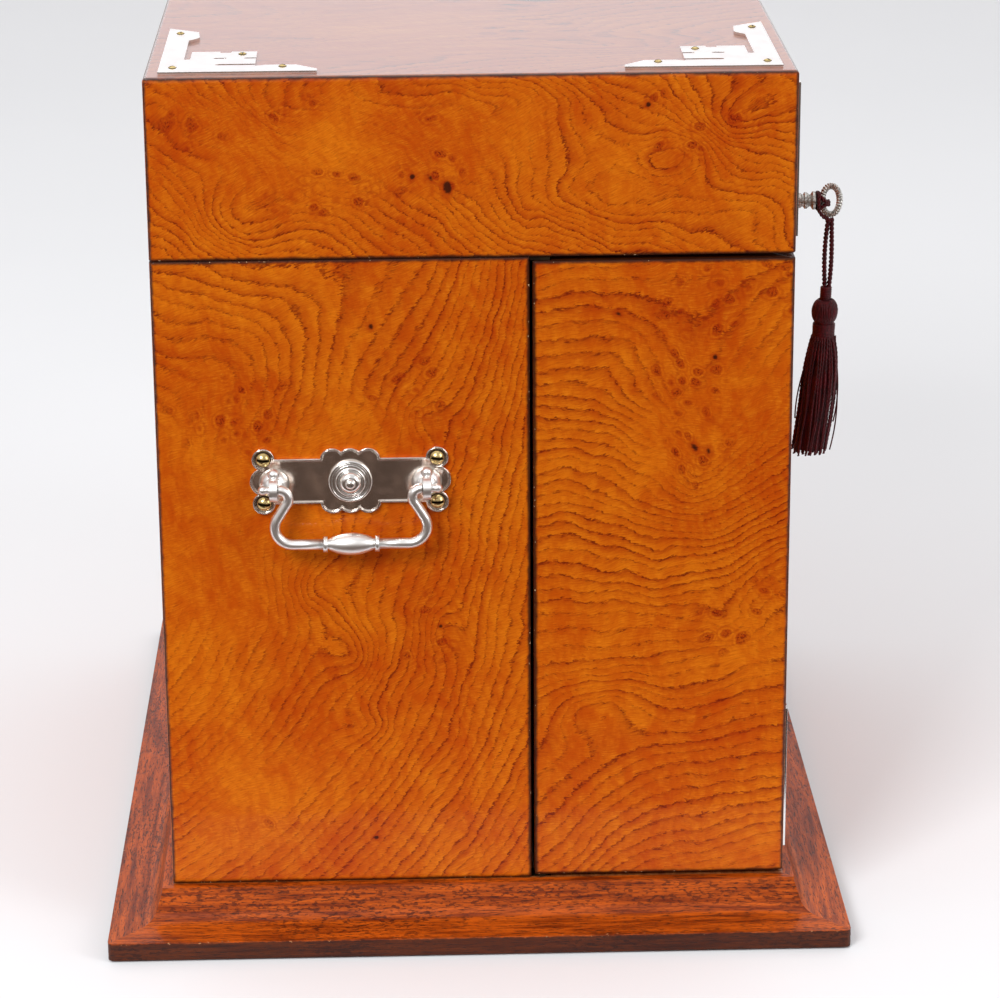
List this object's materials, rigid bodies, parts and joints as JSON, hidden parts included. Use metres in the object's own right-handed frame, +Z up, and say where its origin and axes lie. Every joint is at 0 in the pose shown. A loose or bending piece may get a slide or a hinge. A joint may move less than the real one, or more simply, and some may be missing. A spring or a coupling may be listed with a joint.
{
  "type": "three-decanter tantalus",
  "caption": "Lockable burr oak tantalus box with a hinged lid, deep opening doors that carry tumblers, and side bail handles over a moulded plinth.",
  "frame": {"origin": "centre of the underside, on the surface that the baize rests on", "axes": "+X to the right of someone who faces the doors, -Y towards that person, +Z up"},
  "size_m": [0.399, 0.3394, 0.3801],
  "materials": {
    "burr_oak": "French-polished burr oak veneer",
    "plinth_oak": "French-polished straight-grained oak",
    "inner_oak": "waxed oak",
    "baize": "green wool baize",
    "lid_velvet": "buttonless plum velvet",
    "mount_plate": "polished nickel-silver plate",
    "screw_brass": "polished",
    "hinge_brass": "aged",
    "lock_steel": "filed",
    "key_nickel": "worn nickel plate",
    "cut_glass": "clear cut glass",
    "tassel_silk": "burgundy twisted silk"
  },
  "bodies": {
    "case": {"base_baize": "baize", "plinth_front": "plinth_oak", "plinth_back": "plinth_oak", "plinth_sides": "plinth_oak", "base_board": "inner_oak", "case_floor": "inner_oak", "case_left_side": "burr_oak", "case_right_side": "burr_oak", "case_back": "burr_oak", "decanter_deck": "inner_oak", "decanter_rack": "inner_oak", "compartment_dividers": "inner_oak", "left_decanter": "cut_glass", "middle_decanter": "cut_glass", "right_decanter": "cut_glass", "case_hinge_leaves": "hinge_brass", "lid_hinge_pins": "hinge_brass", "door_pivot_plates": "hinge_brass", "handle_plates": "mount_plate", "handle_posts": "mount_plate", "handle_bosses": "mount_plate", "handle_screws": "screw_brass"},
    "lid": {"lid_top": "burr_oak", "lid_front": "burr_oak", "lid_back": "burr_oak", "lid_sides": "burr_oak", "lid_lining": "lid_velvet", "lid_hinge_leaves": "hinge_brass", "lid_mounts": "mount_plate", "lid_mount_screws": "screw_brass", "lock_striker": "hinge_brass"},
    "left_door": {"left_door_front": "burr_oak", "left_door_side": "burr_oak", "left_door_stile": "inner_oak", "left_door_shelves": "inner_oak", "left_door_rails": "mount_plate", "left_tumblers": "cut_glass", "left_door_mount": "mount_plate", "left_door_mount_screws": "screw_brass", "left_door_bushes": "hinge_brass"},
    "right_door": {"right_door_front": "burr_oak", "right_door_side": "burr_oak", "right_door_stile": "inner_oak", "right_door_shelves": "inner_oak", "right_door_rails": "mount_plate", "right_tumblers": "cut_glass", "right_door_mount": "mount_plate", "right_door_mount_screws": "screw_brass", "right_door_bushes": "hinge_brass", "lock_case": "hinge_brass", "escutcheon": "hinge_brass"},
    "key": {"key": "key_nickel"},
    "hook_bolt": {"hook_bolt": "lock_steel"},
    "tassel": {"tassel_cord": "tassel_silk", "tassel": "tassel_silk"},
    "left_stopper": {"left_stopper": "cut_glass"},
    "middle_stopper": {"middle_stopper": "cut_glass"},
    "right_stopper": {"right_stopper": "cut_glass"},
    "left_bail": {"left_bail": "mount_plate"},
    "right_bail": {"right_bail": "mount_plate"}
  },
  "joints": [
    {"name": "lid_hinge", "type": "hinge", "parent": "case", "child": "lid", "pos_m": [0, 0.1354, 0.302], "axis": [-1, 0, 0], "range_deg": [0, 95]},
    {"name": "left_door_pivot", "type": "hinge", "parent": "case", "child": "left_door", "pos_m": [-0.1695, -0.0275, 0.16], "axis": [0, 0, -1], "range_deg": [0, 110]},
    {"name": "right_door_pivot", "type": "hinge", "parent": "case", "child": "right_door", "pos_m": [0.1695, -0.0275, 0.16], "axis": [0, 0, 1], "range_deg": [0, 110]},
    {"name": "key_turn", "type": "hinge", "parent": "right_door", "child": "key", "pos_m": [0.0245, -0.1325, 0.2755], "axis": [0, -1, 0], "range_deg": [0, 90]},
    {"name": "hook_swing", "type": "hinge", "parent": "right_door", "child": "hook_bolt", "pos_m": [0.015, -0.126, 0.284], "axis": [0, -1, 0], "range_deg": [0, 54]},
    {"name": "tassel_swing", "type": "hinge", "parent": "right_door", "child": "tassel", "pos_m": [0.0245, -0.1711, 0.2755], "axis": [0, 1, 0], "range_deg": [-30, 30]},
    {"name": "left_bail_swing", "type": "hinge", "parent": "case", "child": "left_bail", "pos_m": [-0.183, 0.052, 0.2065], "axis": [0, 1, 0], "range_deg": [-12, 95]},
    {"name": "right_bail_swing", "type": "hinge", "parent": "case", "child": "right_bail", "pos_m": [0.183, 0.052, 0.2065], "axis": [0, -1, 0], "range_deg": [-12, 95]},
    {"name": "left_stopper_lift", "type": "slide", "parent": "case", "child": "left_stopper", "axis": [0, 0, 1], "range_m": [0, 0.015]},
    {"name": "middle_stopper_lift", "type": "slide", "parent": "case", "child": "middle_stopper", "axis": [0, 0, 1], "range_m": [0, 0.015]},
    {"name": "right_stopper_lift", "type": "slide", "parent": "case", "child": "right_stopper", "axis": [0, 0, 1], "range_m": [0, 0.015]}
  ],
  "couplings": [
    {"joint": "hook_swing", "follows": "key_turn", "ratio": 0.6}
  ]
}
